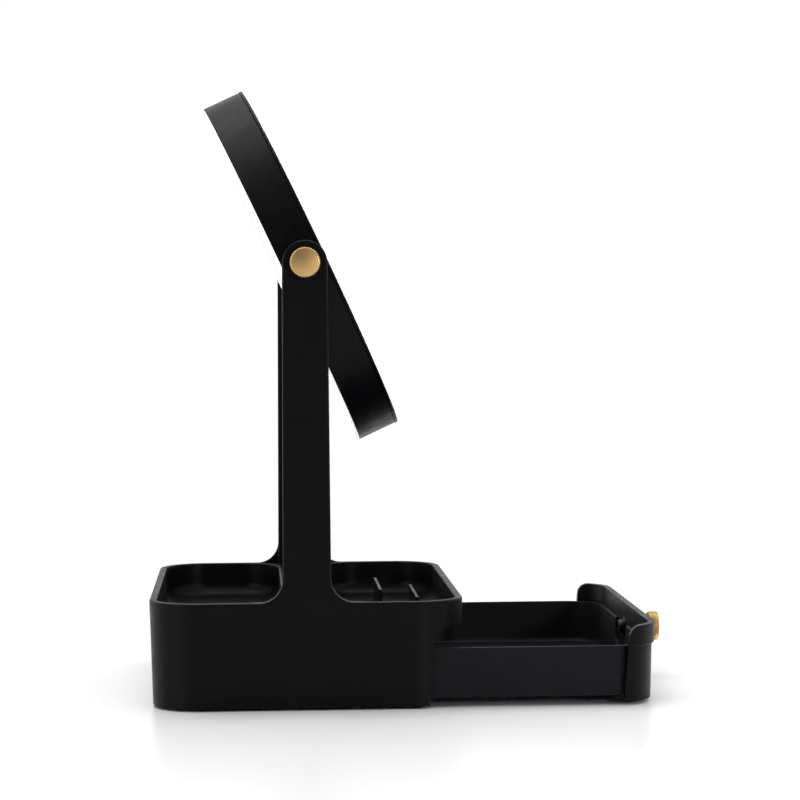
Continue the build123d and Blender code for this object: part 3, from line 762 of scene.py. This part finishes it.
# ---------------------------------------------------------------- turned pieces
def middle_of(node: str) -> np.ndarray:
    """Middle of a CAD node's box."""
    low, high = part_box(node)
    return (np.array(low) + np.array(high)) / 2.0


def radius_of(node: str) -> float:
    """Half of a CAD node's width along X."""
    low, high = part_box(node)
    return float(high[0] - low[0]) / 2.0


@dataclass
class KnurledKnob:
    """Brass knob: a straight-knurled grip with rounded ends and a domed face, on a smooth stem.

    Attributes:
        node: CAD node that it stands for.
        body: CAD body that it rides on.
        along: Unit vector from the stem to the face.
        stem_radius: Radius of the stem.
        stem_length: Length of the stem up to the grip.
        stem_chamfer: Bevel at the stem's end, and where it meets the grip.
        grip_length: Length of the toothed grip.
        end_radius: Rounding of the grip's two ends.
        dome: Height of the domed face.
        teeth: Number of teeth.
        tooth_depth: Depth of the valleys between the teeth.
        tooth_flat: Share of a half tooth that is flat on the crest, and as much in the valley.
        tooth_fade: Power by which the teeth fade out over the rounded ends.
        steps_per_tooth: Steps of the turned grid in one tooth.
        arc_points: Points of each rounded end.
        face_points: Points of the face.
        side_run: Longest step along the grip.
        stem_run: Longest step along the stem.
        crease: Angle in degrees above which an edge stays sharp.
    """

    node: str
    body: str
    along: Point
    stem_radius: float = 3.5 * MM
    stem_length: float = 9.0 * MM
    stem_chamfer: float = 0.3 * MM
    grip_length: float = 5.6 * MM
    end_radius: float = 1.0 * MM
    dome: float = 0.34 * MM
    teeth: int = 50
    tooth_depth: float = 0.55 * MM
    tooth_flat: float = 0.1
    tooth_fade: float = 1.5
    steps_per_tooth: int = 8
    arc_points: int = 12
    face_points: int = 24
    side_run: float = 0.5 * MM
    stem_run: float = 1.2 * MM
    crease: float = 50.0

    def outline(self, grip_radius: float) -> tuple[np.ndarray, np.ndarray]:
        """Profile from the stem's end to the middle of the face.

        Args:
            grip_radius: Radius over the teeth.

        Returns:
            The profile as axial distance and radius, and how deep the teeth are cut at each
            point, from 0 to 1.
        """
        back, front = self.stem_length, self.stem_length + self.grip_length
        flat, bend = grip_radius - self.end_radius, self.end_radius
        stem = np.array(
            (
                (0.0, 0.0),
                (0.0, self.stem_radius - self.stem_chamfer),
                (self.stem_chamfer, self.stem_radius),
                (back - self.stem_chamfer, self.stem_radius),
                (back, self.stem_radius + self.stem_chamfer),
            )
        )
        rear_arc = arc((back + bend, flat), bend, 180.0, 90.0, self.arc_points)
        front_arc = arc((front - bend, flat), bend, 90.0, 0.0, self.arc_points)
        side = finer(np.stack((rear_arc[-1], front_arc[0])), self.side_run)[1:-1]
        face = dished(front + self.dome, flat, self.dome, self.face_points)[1:]
        profile = np.concatenate((finer(stem, self.stem_run), rear_arc, side, front_arc, face))
        axial, radius = profile.T
        on_grip = (radius > flat) & (axial > back) & (axial < front)
        cut = np.clip((radius - flat) / bend, 0.0, 1.0) ** self.tooth_fade
        return profile, np.where(on_grip, cut, 0.0)

    def build(self, shop: Workshop) -> bpy.types.Object:
        """Makes the knob.

        Radius = outline - tooth_depth * cut * valley. The valley is a tent over each tooth, 0 at
        the crest and 1 midway to the next, stretched and clipped so that both ends are flat.

        Args:
            shop: Where the finish comes from.

        Returns:
            The finished piece.
        """
        low, high = (np.array(corner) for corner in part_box(self.node))
        along = np.array(self.along)
        middle = (low + high) / 2.0
        across = (high - low)[np.abs(along) < 0.5]
        start = middle - along * (abs((high - low) @ along) / 2.0)
        profile, cut = self.outline(float(across.max()) / 2.0)
        steps = self.teeth * self.steps_per_tooth
        phase = (np.arange(steps) / self.steps_per_tooth) % 1.0
        tent = 1.0 - np.abs(2.0 * phase - 1.0)
        valley = np.clip((tent - self.tooth_flat) / (1.0 - 2.0 * self.tooth_flat), 0.0, 1.0)
        radius = profile[:, 1][:, None] - self.tooth_depth * cut[:, None] * valley[None]
        grid = Axle(start, along).turn(profile[:, 0], radius, steps)
        mesh = grid_mesh(self.node + "_turned", grid, ring=False)
        piece = new_piece(mesh, shop.material(BRASS), self.crease)
        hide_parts(self.node)
        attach(piece, self.body)
        LOG.info("knob %s, %d teeth", piece.name, self.teeth)
        return piece


@dataclass
class MirrorHead:
    """The glazed parts of the round head: two light rings and two mirrors.

    Attributes:
        body: CAD body that the head rides on.
        steps: Steps in a full turn.
        ring_round: Rounding of a light ring's outer edge.
        lip_round: Rounding of its inner edge.
        ring_seat: Distance from the head's middle to a ring's back.
        ring_slope: How much further out the back lies at its outer edge.
        flange: Thickness of the ring's wide part.
        spigot_in: How far its narrow part stands in from the outer edge.
        glass_thickness: Thickness of a mirror.
        glass_bevel: Bevel of a mirror's edge.
        glass_recess: How far a mirror's face lies below the ring's.
        seat_gap: Gap between a mirror's edge and its ring.
        sag: Depth of the rear mirror's bowl.
        round_points: Points of a ring's outer edge.
        lip_points: Points of its inner edge.
        face_points: Points of a mirror's face.
        ring_crease: Angle in degrees above which a ring's edge stays sharp.
        glass_crease: The same for a mirror.
    """

    body: str = "mirror"
    steps: int = 288
    ring_round: float = 1.2 * MM
    lip_round: float = 0.35 * MM
    ring_seat: float = 9.2 * MM
    ring_slope: float = 0.02 * MM
    flange: float = 1.66 * MM
    spigot_in: float = 3.6 * MM
    glass_thickness: float = 2.0 * MM
    glass_bevel: float = 0.5 * MM
    glass_recess: float = 0.16 * MM
    seat_gap: float = 0.2 * MM
    sag: float = 2.52 * MM
    round_points: int = 12
    lip_points: int = 6
    face_points: int = 60
    ring_crease: float = 40.0
    glass_crease: float = 32.0

    def axle(self) -> Axle:
        """The head's axis, towards its front, through the middles of the two mirrors' boxes.

        Returns:
            The axis, with its origin at the middle of the head.
        """
        front, rear = middle_of("front_glass"), middle_of("rear_glass")
        along = front - rear
        return Axle((front + rear) / 2.0, along / np.linalg.norm(along))

    def levels(self) -> tuple[float, float, float]:
        """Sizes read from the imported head.

        Returns:
            Distance from the middle to the mirrors' outer faces, the mirrors' radius and the
            rings' radius.
        """
        gap = float(np.linalg.norm(middle_of("front_glass") - middle_of("rear_glass")))
        face = (gap + self.glass_thickness) / 2.0
        return face, radius_of("front_glass"), radius_of("front_diffuser")

    def facing(self, side: Side) -> Axle:
        """The head's axis, pointing out of one of its faces."""
        axle = self.axle()
        return Axle(axle.origin, axle.along * side.value)

    def light_ring(self, side: Side, shop: Workshop) -> bpy.types.Object:
        """Frosted ring round a mirror: a flat face with a rounded outer edge and a soft inner lip.

        The profile runs out along the back, up the outer side, over the rounded edge and the
        face, and down the inner side.

        Args:
            side: Which face of the head.
            shop: Where the finish comes from.

        Returns:
            The finished piece.
        """
        face, glass_radius, outer = self.levels()
        top = face + self.glass_recess
        inner = glass_radius + self.seat_gap
        spigot = outer - self.spigot_in
        seat = top - self.flange
        bend, lip = self.ring_round, self.lip_round
        profile = np.concatenate(
            (
                ((self.ring_seat, inner), (self.ring_seat + self.ring_slope, spigot)),
                ((seat, spigot), (seat, outer)),
                arc((top - bend, outer - bend), bend, 90.0, 0.0, self.round_points),
                arc((top - lip, inner + lip), lip, 0.0, -90.0, self.lip_points),
            )
        )
        grid = self.facing(side).turn(profile[:, 0], profile[:, 1], self.steps)
        node = f"{side.name.lower()}_diffuser"
        mesh = grid_mesh(node + "_frosted", grid, ring=True)
        piece = new_piece(mesh, shop.material(LIGHT_RING), self.ring_crease)
        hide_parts(node)
        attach(piece, self.body)
        return piece

    def mirror(self, side: Side, shop: Workshop) -> bpy.types.Object:
        """Mirror disc with a polished bevel; the rear one is a shallow bowl that magnifies.

        Face and back share one curve: axial = level + sag * (radius / reach) squared - sag.

        Args:
            side: Which face of the head.
            shop: Where the finish comes from.

        Returns:
            The finished piece.
        """
        level, reach, _ = self.levels()
        sag = self.sag if side is Side.REAR else 0.0
        flat = reach - self.glass_bevel
        under = level - self.glass_thickness
        face = dished(level - sag, flat, -sag, self.face_points)
        back = dished(under - sag, flat, -sag, self.face_points)[::-1]
        edge = np.array(((under + self.glass_bevel, reach), (level - self.glass_bevel, reach)))
        profile = np.concatenate((back, edge, face))
        grid = self.facing(side).turn(profile[:, 0], profile[:, 1], self.steps)
        node = f"{side.name.lower()}_glass"
        mesh = grid_mesh(node + "_silvered", grid, ring=False)
        piece = new_piece(mesh, shop.material(SILVERED), self.glass_crease)
        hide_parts(node)
        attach(piece, self.body)
        return piece

    def build(self, shop: Workshop) -> None:
        """Makes the glazed parts of both faces.

        Args:
            shop: Where the finishes come from.
        """
        for side in Side:
            for piece in (self.light_ring(side, shop), self.mirror(side, shop)):
                LOG.info("head piece %s", piece.name)


@dataclass
class MouldedParts:
    """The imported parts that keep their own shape: welded, shaded smooth and dressed.

    Attributes:
        weld: Distance under which points become one.
        crease: Angle in degrees above which an edge stays sharp.
    """

    weld: float = 0.000002
    crease: float = 28.0

    def dress(self, nodes: dict[str, bpy.types.Object], shop: Workshop) -> None:
        """Gives each part its finish, and shades its curves smooth while its edges stay sharp.

        Args:
            nodes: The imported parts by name.
            shop: Where the finishes come from.
        """
        for name, (finish, slot) in NODE_FINISHES.items():
            part = nodes[name]
            part.data.materials.clear()
            part.data.materials.append(shop.material(finish))
            faces = part.data.polygons
            faces.foreach_set("use_smooth", np.ones(len(faces), bool))
            faces.foreach_set("material_index", np.zeros(len(faces), np.int32))
            weld = part.modifiers.new("weld", "WELD")
            weld.merge_threshold = self.weld
            split = part.modifiers.new("crease", "EDGE_SPLIT")
            split.split_angle = math.radians(self.crease)
            weighted = part.modifiers.new("flat_faces", "WEIGHTED_NORMAL")
            weighted.mode = "FACE_AREA_WITH_ANGLE"
            LOG.info("part %s wears %s", name, finish.name)


# ---------------------------------------------------------------- studio
@dataclass(frozen=True)
class Camera:
    """The photograph's camera, fitted to the object's outline.

    Attributes:
        place: Where it stands.
        yaw: Turn away from +X towards -Y, in radians.
        pitch: Downward look, in radians.
        roll: Roll, in radians.
        focal: Focal length in millimetres.
        sensor: Width of the sensor in millimetres.
        nearest: Distance in metres at which things begin to show.
    """

    place: Point = (-1.3297, 0.02634, 0.1907)
    yaw: float = 0.0579
    pitch: float = 0.0345
    roll: float = -0.0061
    focal: float = 116.3
    sensor: float = 36.0
    nearest: float = 0.01

    def build(self) -> None:
        """Makes the camera and looks through it."""
        ahead = Vector(
            (
                math.cos(self.pitch) * math.cos(self.yaw),
                -math.cos(self.pitch) * math.sin(self.yaw),
                -math.sin(self.pitch),
            )
        )
        level = Vector((-math.sin(self.yaw), -math.cos(self.yaw), 0.0))
        upright = level.cross(ahead)
        right = math.cos(self.roll) * level + math.sin(self.roll) * upright
        up = math.cos(self.roll) * upright - math.sin(self.roll) * level
        lens = bpy.data.cameras.new("photo_camera")
        lens.lens = self.focal
        lens.sensor_width = self.sensor
        lens.clip_start = self.nearest
        camera = bpy.data.objects.new("photo_camera", lens)
        turn = Matrix((right, up, -ahead)).transposed().to_4x4()
        camera.matrix_world = Matrix.Translation(Vector(self.place)) @ turn
        bpy.context.scene.collection.objects.link(camera)
        bpy.context.scene.camera = camera
        LOG.info("camera, %.1f mm", self.focal)


@dataclass(frozen=True)
class SoftBox:
    """A large soft lamp that looks at a point.

    Attributes:
        name: Name of the lamp.
        place: Where it hangs.
        target: Where it points.
        size: Width and height.
        power: Light in watts.
    """

    name: str
    place: Point
    target: Point
    size: tuple[float, float]
    power: float

    def build(self) -> None:
        """Makes the lamp."""
        lamp = bpy.data.lights.new(self.name, "AREA")
        lamp.shape = "RECTANGLE"
        lamp.size, lamp.size_y = self.size
        lamp.energy = self.power
        holder = bpy.data.objects.new(self.name, lamp)
        look = Vector(self.target) - Vector(self.place)
        holder.rotation_euler = look.to_track_quat("-Z", "Y").to_euler()
        holder.location = self.place
        bpy.context.scene.collection.objects.link(holder)


@dataclass
class Studio:
    """Pale floor, a white backdrop behind the object, a dim room behind the camera, and soft lamps.

    Attributes:
        floor_reach: Half the floor's width.
        stops: X of a direction and the room's brightness there, in order of X.
        lamps: The lamps.
    """

    floor_reach: float = 6.0
    stops: tuple[tuple[float, float], ...] = (
        (-0.93, 0.06),
        (-0.75, 0.45),
        (-0.2, 0.5),
        (0.15, 1.0),
    )
    lamps: tuple[SoftBox, ...] = (
        SoftBox("top_box", (0.1, 0.1, 1.3), (0.0, 0.0, 0.1), (1.4, 1.2), 13.0),
        SoftBox("rear_side_box", (-0.8, 1.0, 0.5), (0.0, 0.0, 0.05), (0.5, 0.7), 4.0),
        SoftBox("drawer_side_box", (-0.4, -1.1, 0.7), (0.0, -0.05, 0.05), (0.6, 0.6), 1.5),
        SoftBox("spark", (-1.15, -0.55, 0.3), (0.0, 0.0, 0.05), (0.12, 0.12), 2.5),
    )

    def build(self, shop: Workshop) -> None:
        """Makes the floor, the surroundings and the lamps.

        Args:
            shop: Where the floor's finish comes from.
        """
        signs = ((-1.0, -1.0, 0.0), (1.0, -1.0, 0.0), (1.0, 1.0, 0.0), (-1.0, 1.0, 0.0))
        mesh = bpy.data.meshes.new("floor")
        mesh.from_pydata((self.floor_reach * np.array(signs)).tolist(), [], [(0, 1, 2, 3)])
        mesh.materials.append(shop.material(FLOOR_PALE))
        floor = bpy.data.objects.new("floor", mesh)
        bpy.context.scene.collection.objects.link(floor)
        self.room()
        bpy.context.scene.view_settings.view_transform = "Standard"
        for lamp in self.lamps:
            lamp.build()
        LOG.info("studio with %d lamps", len(self.lamps))

    def room(self) -> None:
        """Makes the surroundings: a white backdrop, and a dim room behind the camera.

        Brightness follows the X of the direction, smoothly between the stops.
        """
        world = bpy.data.worlds.new("studio_room")
        world.use_nodes = True
        tree = world.node_tree
        direction = tree.nodes.new("ShaderNodeTexCoord")
        split = tree.nodes.new("ShaderNodeSeparateXYZ")
        tree.links.new(direction.outputs["Generated"], split.inputs["Vector"])
        spread = tree.nodes.new("ShaderNodeMapRange")
        spread.inputs["From Min"].default_value = -1.0
        spread.inputs["From Max"].default_value = 1.0
        tree.links.new(split.outputs["X"], spread.inputs["Value"])
        ramp = tree.nodes.new("ShaderNodeValToRGB")
        ramp.color_ramp.interpolation = "EASE"
        while len(ramp.color_ramp.elements) < len(self.stops):
            ramp.color_ramp.elements.new(0.5)
        for element, (toward_x, level) in zip(ramp.color_ramp.elements, self.stops):
            element.position = (toward_x + 1.0) / 2.0
            element.color = (level, level, level, 1.0)
        tree.links.new(spread.outputs["Result"], ramp.inputs["Fac"])
        tree.links.new(ramp.outputs["Color"], tree.nodes["Background"].inputs["Color"])
        bpy.context.scene.world = world


def main() -> None:
    """Builds the looks, in order: frame, camera, turned pieces, moulded parts and studio."""
    logging.basicConfig(level=logging.INFO, format="%(name)s: %(message)s")
    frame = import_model()
    shop = Workshop()
    Camera().build()
    KnurledKnob("pivot_knob_left", "knob_left", (-1.0, 0.0, 0.0)).build(shop)
    KnurledKnob("pivot_knob_right", "knob_right", (1.0, 0.0, 0.0)).build(shop)
    KnurledKnob("drawer_knob", "drawer", (0.0, -1.0, 0.0)).build(shop)
    MirrorHead().build(shop)
    MouldedParts().dress(frame["nodes"], shop)
    Studio().build(shop)


if __name__ == "__main__":
    main()
